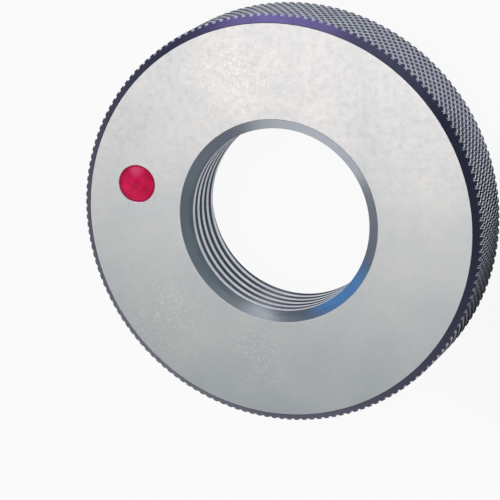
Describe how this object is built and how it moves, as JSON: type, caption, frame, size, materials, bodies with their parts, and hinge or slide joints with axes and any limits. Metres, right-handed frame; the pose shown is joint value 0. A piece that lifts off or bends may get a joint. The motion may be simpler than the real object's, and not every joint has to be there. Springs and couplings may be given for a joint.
{
  "type": "thread ring gauge",
  "caption": "Steel NO-GO thread ring gauge with a diamond-knurled rim, a threaded through bore with countersunk mouths and a red lacquer mark on one face.",
  "frame": {"origin": "centre of the back face, on the ring's axis", "axes": "+Z along the ring's axis, towards the face with the red mark; the red mark lies on the -X side, a little towards +Y"},
  "size_m": [0.063, 0.063, 0.012],
  "materials": {
    "hardened_steel": "satin",
    "red_lacquer": "gloss"
  },
  "bodies": {
    "root": {"gauge_ring": "hardened_steel", "red_mark": "red_lacquer"}
  },
  "joints": []
}
